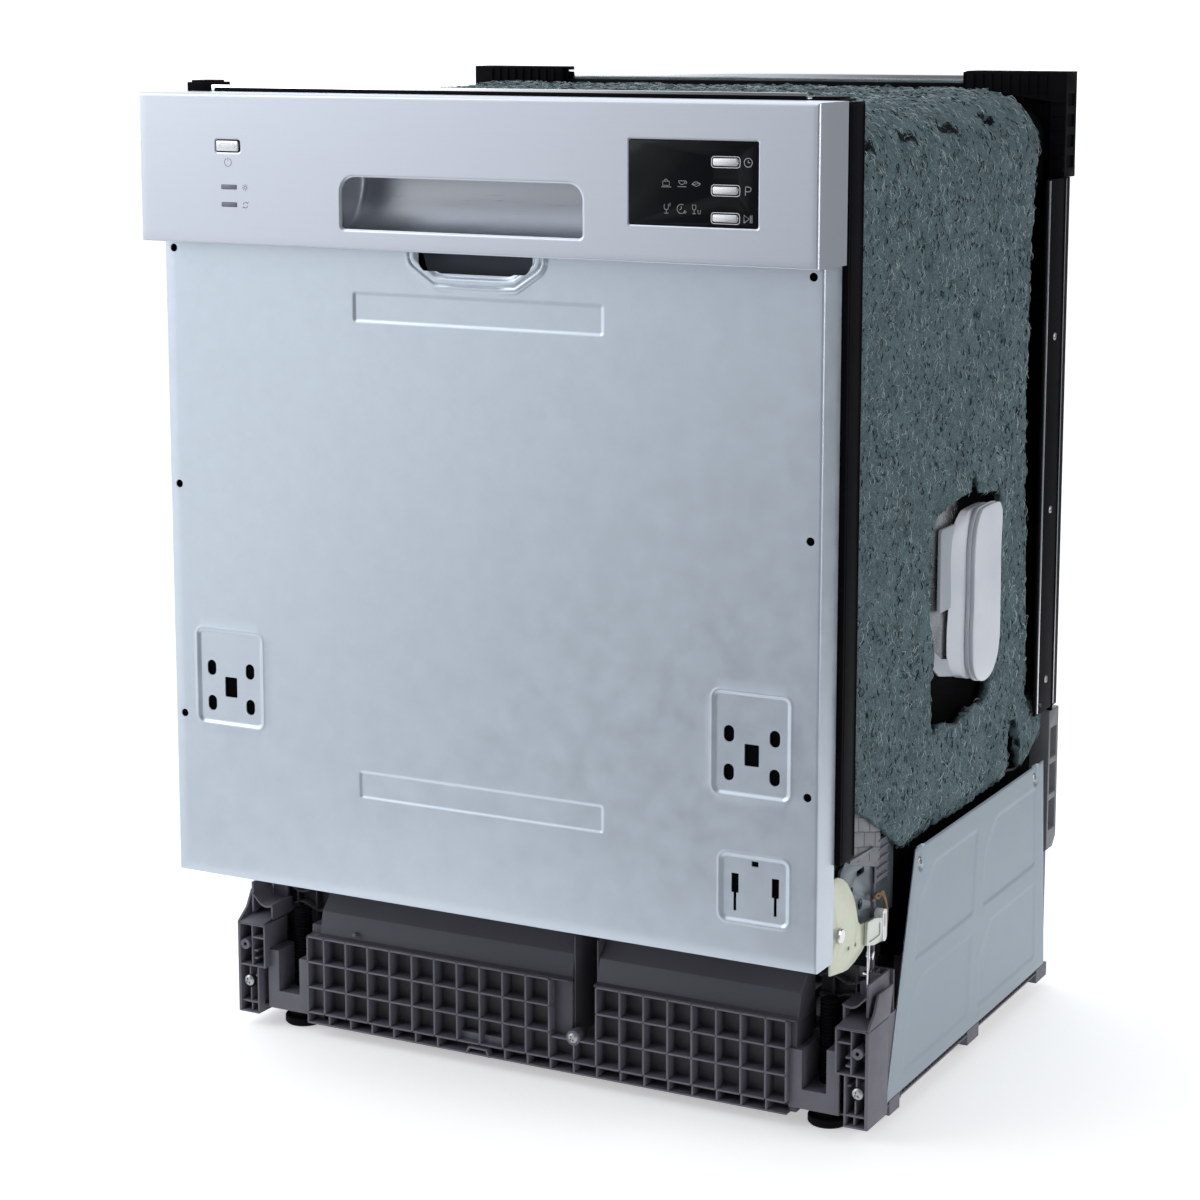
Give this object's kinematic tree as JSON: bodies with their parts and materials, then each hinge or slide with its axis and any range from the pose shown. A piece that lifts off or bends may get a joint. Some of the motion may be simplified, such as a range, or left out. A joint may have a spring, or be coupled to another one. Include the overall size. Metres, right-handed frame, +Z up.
{
  "type": "built-in dishwasher",
  "caption": "Built-in dishwasher with a front control panel, drop-down door, two sliding wire racks, spray arms, felt-wrapped tub and ribbed plastic base on screw feet",
  "frame": {"origin": "middle of the machine's footprint at floor level, feet resting on z = 0", "axes": "+X to the right seen from the front, +Y towards the rear, +Z up; the door and control panel face -Y"},
  "size_m": [0.598, 0.5714, 0.832],
  "materials": {
    "base_column_left": "grey moulded plastic",
    "base_column_right": "grey moulded plastic",
    "base_tray": "grey moulded plastic",
    "breather": "white moulded plastic",
    "circulation_pump": "grey moulded plastic",
    "control_panel": "brushed stainless sheet",
    "control_window": "black gloss",
    "cutlery_basket": "grey moulded plastic",
    "detergent_dispenser": "grey moulded plastic",
    "dispenser_lid": "grey moulded plastic",
    "door_latch": "black moulded plastic",
    "door_liner": "brushed stainless sheet",
    "door_seal": "grey-black rubber",
    "drain_pump": "black moulded plastic",
    "feed_pipe": "white moulded plastic",
    "filter_cup": "grey moulded plastic",
    "filter_plate": "brushed stainless sheet",
    "foot_front_left": "black moulded plastic",
    "foot_front_right": "black moulded plastic",
    "foot_rear_left": "black moulded plastic",
    "foot_rear_right": "black moulded plastic",
    "handle_cup": "silver finished plastic",
    "hinge_arm_left": "green zinc passivated steel",
    "hinge_arm_right": "green zinc passivated steel",
    "hinge_bracket_left": "dark steel",
    "hinge_bracket_right": "dark steel",
    "indicator_lenses": "smoked lens",
    "inlet_valve": "white moulded plastic",
    "insulation_felt": "recycled fibre felt",
    "lower_rack": "plastic coated wire",
    "lower_spray_arm": "brushed stainless sheet",
    "outer_door_panel": "galvanised sheet, satin",
    "power_button": "silver finished plastic",
    "program_button": "silver finished plastic",
    "rack_rail_left": "brushed stainless sheet",
    "rack_rail_right": "brushed stainless sheet",
    "rack_wheel_front_left": "white moulded plastic",
    "rack_wheel_front_right": "white moulded plastic",
    "rack_wheel_rear_left": "white moulded plastic",
    "rack_wheel_rear_right": "white moulded plastic",
    "rear_cap_left": "black moulded plastic",
    "rear_cap_right": "black moulded plastic",
    "rear_post_left": "black moulded plastic",
    "rear_post_right": "black moulded plastic",
    "rear_top_bar": "polished stainless",
    "rear_upright_left": "grey moulded plastic",
    "rear_upright_right": "grey moulded plastic",
    "rinse_aid_cap": "blue plastic",
    "side_plate_left": "galvanised sheet, satin",
    "side_plate_right": "galvanised sheet, satin",
    "side_strip_left": "black moulded plastic",
    "side_strip_right": "black moulded plastic",
    "softener_tank": "white moulded plastic",
    "start_button": "silver finished plastic",
    "sump": "grey moulded plastic",
    "timer_button": "silver finished plastic",
    "tub": "brushed stainless sheet",
    "tub_front_rail": "polished stainless",
    "upper_rack": "plastic coated wire",
    "upper_spray_arm": "brushed stainless sheet"
  },
  "bodies": {
    "chassis": {"base_column_left": "base_column_left", "base_column_right": "base_column_right", "base_tray": "base_tray", "breather": "breather", "circulation_pump": "circulation_pump", "door_seal": "door_seal", "drain_pump": "drain_pump", "feed_pipe": "feed_pipe", "filter_plate": "filter_plate", "hinge_bracket_left": "hinge_bracket_left", "hinge_bracket_right": "hinge_bracket_right", "inlet_valve": "inlet_valve", "insulation_felt": "insulation_felt", "rack_rail_left": "rack_rail_left", "rack_rail_right": "rack_rail_right", "rear_cap_left": "rear_cap_left", "rear_cap_right": "rear_cap_right", "rear_post_left": "rear_post_left", "rear_post_right": "rear_post_right", "rear_top_bar": "rear_top_bar", "rear_upright_left": "rear_upright_left", "rear_upright_right": "rear_upright_right", "side_plate_left": "side_plate_left", "side_plate_right": "side_plate_right", "side_strip_left": "side_strip_left", "side_strip_right": "side_strip_right", "softener_tank": "softener_tank", "sump": "sump", "tub": "tub", "tub_front_rail": "tub_front_rail"},
    "door": {"control_panel": "control_panel", "control_window": "control_window", "detergent_dispenser": "detergent_dispenser", "door_latch": "door_latch", "door_liner": "door_liner", "handle_cup": "handle_cup", "hinge_arm_left": "hinge_arm_left", "hinge_arm_right": "hinge_arm_right", "indicator_lenses": "indicator_lenses", "outer_door_panel": "outer_door_panel"},
    "power_button": {"power_button": "power_button"},
    "timer_button": {"timer_button": "timer_button"},
    "program_button": {"program_button": "program_button"},
    "start_button": {"start_button": "start_button"},
    "dispenser_lid": {"dispenser_lid": "dispenser_lid"},
    "rinse_aid_cap": {"rinse_aid_cap": "rinse_aid_cap"},
    "upper_rack": {"upper_rack": "upper_rack"},
    "upper_spray_arm": {"upper_spray_arm": "upper_spray_arm"},
    "lower_rack": {"lower_rack": "lower_rack"},
    "lower_spray_arm": {"lower_spray_arm": "lower_spray_arm"},
    "cutlery_basket": {"cutlery_basket": "cutlery_basket"},
    "filter_cup": {"filter_cup": "filter_cup"},
    "rack_wheel_front_left": {"rack_wheel_front_left": "rack_wheel_front_left"},
    "rack_wheel_front_right": {"rack_wheel_front_right": "rack_wheel_front_right"},
    "rack_wheel_rear_left": {"rack_wheel_rear_left": "rack_wheel_rear_left"},
    "rack_wheel_rear_right": {"rack_wheel_rear_right": "rack_wheel_rear_right"},
    "foot_front_left": {"foot_front_left": "foot_front_left"},
    "foot_front_right": {"foot_front_right": "foot_front_right"},
    "foot_rear_left": {"foot_rear_left": "foot_rear_left"},
    "foot_rear_right": {"foot_rear_right": "foot_rear_right"}
  },
  "joints": [
    {"name": "door_hinge", "type": "hinge", "parent": "chassis", "child": "door", "pos_m": [0, -0.21, 0.183], "axis": [1, 0, 0], "range_deg": [0, 90]},
    {"name": "power_button_press", "type": "slide", "parent": "door", "child": "power_button", "axis": [0, 1, 0], "range_m": [0, 0.0013], "stiffness_N_per_m": 300, "springref_m": -0.002},
    {"name": "timer_button_press", "type": "slide", "parent": "door", "child": "timer_button", "axis": [0, 1, 0], "range_m": [0, 0.0013], "stiffness_N_per_m": 300, "springref_m": -0.002},
    {"name": "program_button_press", "type": "slide", "parent": "door", "child": "program_button", "axis": [0, 1, 0], "range_m": [0, 0.0013], "stiffness_N_per_m": 300, "springref_m": -0.002},
    {"name": "start_button_press", "type": "slide", "parent": "door", "child": "start_button", "axis": [0, 1, 0], "range_m": [0, 0.0013], "stiffness_N_per_m": 300, "springref_m": -0.002},
    {"name": "dispenser_lid_slide", "type": "slide", "parent": "door", "child": "dispenser_lid", "axis": [0, 0, -1], "range_m": [0, 0.098]},
    {"name": "rinse_aid_cap_turn", "type": "hinge", "parent": "door", "child": "rinse_aid_cap", "pos_m": [0.032, -0.2155, 0.52], "axis": [0, 1, 0], "range_deg": [0, 90]},
    {"name": "upper_rack_slide", "type": "slide", "parent": "chassis", "child": "upper_rack", "axis": [0, -1, 0], "range_m": [0, 0.44]},
    {"name": "lower_rack_slide", "type": "slide", "parent": "chassis", "child": "lower_rack", "axis": [0, -1, 0], "range_m": [0, 0.15]},
    {"name": "upper_spray_arm_spin", "type": "hinge", "parent": "upper_rack", "child": "upper_spray_arm", "pos_m": [0, 0.015, 0.478], "axis": [0, 0, 1], "continuous": true},
    {"name": "lower_spray_arm_spin", "type": "hinge", "parent": "chassis", "child": "lower_spray_arm", "pos_m": [0, 0.015, 0.197], "axis": [0, 0, 1], "continuous": true},
    {"name": "cutlery_basket_lift", "type": "slide", "parent": "lower_rack", "child": "cutlery_basket", "axis": [0, 0, 1], "range_m": [0, 0.12]},
    {"name": "filter_cup_turn", "type": "hinge", "parent": "chassis", "child": "filter_cup", "pos_m": [0.05, 0.055, 0.15], "axis": [0, 0, 1], "range_deg": [0, 90]},
    {"name": "rack_wheel_front_left_spin", "type": "hinge", "parent": "lower_rack", "child": "rack_wheel_front_left", "pos_m": [-0.243, -0.09, 0.197], "axis": [1, 0, 0], "range_deg": [0, 500]},
    {"name": "rack_wheel_front_right_spin", "type": "hinge", "parent": "lower_rack", "child": "rack_wheel_front_right", "pos_m": [0.243, -0.09, 0.197], "axis": [1, 0, 0], "range_deg": [0, 500]},
    {"name": "rack_wheel_rear_left_spin", "type": "hinge", "parent": "lower_rack", "child": "rack_wheel_rear_left", "pos_m": [-0.243, 0.17, 0.197], "axis": [1, 0, 0], "range_deg": [0, 500]},
    {"name": "rack_wheel_rear_right_spin", "type": "hinge", "parent": "lower_rack", "child": "rack_wheel_rear_right", "pos_m": [0.243, 0.17, 0.197], "axis": [1, 0, 0], "range_deg": [0, 500]},
    {"name": "foot_front_left_height", "type": "slide", "parent": "chassis", "child": "foot_front_left", "axis": [0, 0, -1], "range_m": [-0.008, 0.045]},
    {"name": "foot_front_right_height", "type": "slide", "parent": "chassis", "child": "foot_front_right", "axis": [0, 0, -1], "range_m": [-0.008, 0.045]},
    {"name": "foot_rear_left_height", "type": "slide", "parent": "chassis", "child": "foot_rear_left", "axis": [0, 0, -1], "range_m": [-0.008, 0.045]},
    {"name": "foot_rear_right_height", "type": "slide", "parent": "chassis", "child": "foot_rear_right", "axis": [0, 0, -1], "range_m": [-0.008, 0.045]}
  ],
  "couplings": [
    {"joint": "upper_rack_slide", "follows": "door_hinge", "m_per_rad": 0.28},
    {"joint": "lower_rack_slide", "follows": "door_hinge", "m_per_rad": 0.095},
    {"joint": "rack_wheel_front_left_spin", "follows": "door_hinge", "ratio": 5.2778},
    {"joint": "rack_wheel_front_right_spin", "follows": "door_hinge", "ratio": 5.2778},
    {"joint": "rack_wheel_rear_left_spin", "follows": "door_hinge", "ratio": 5.2778},
    {"joint": "rack_wheel_rear_right_spin", "follows": "door_hinge", "ratio": 5.2778}
  ]
}
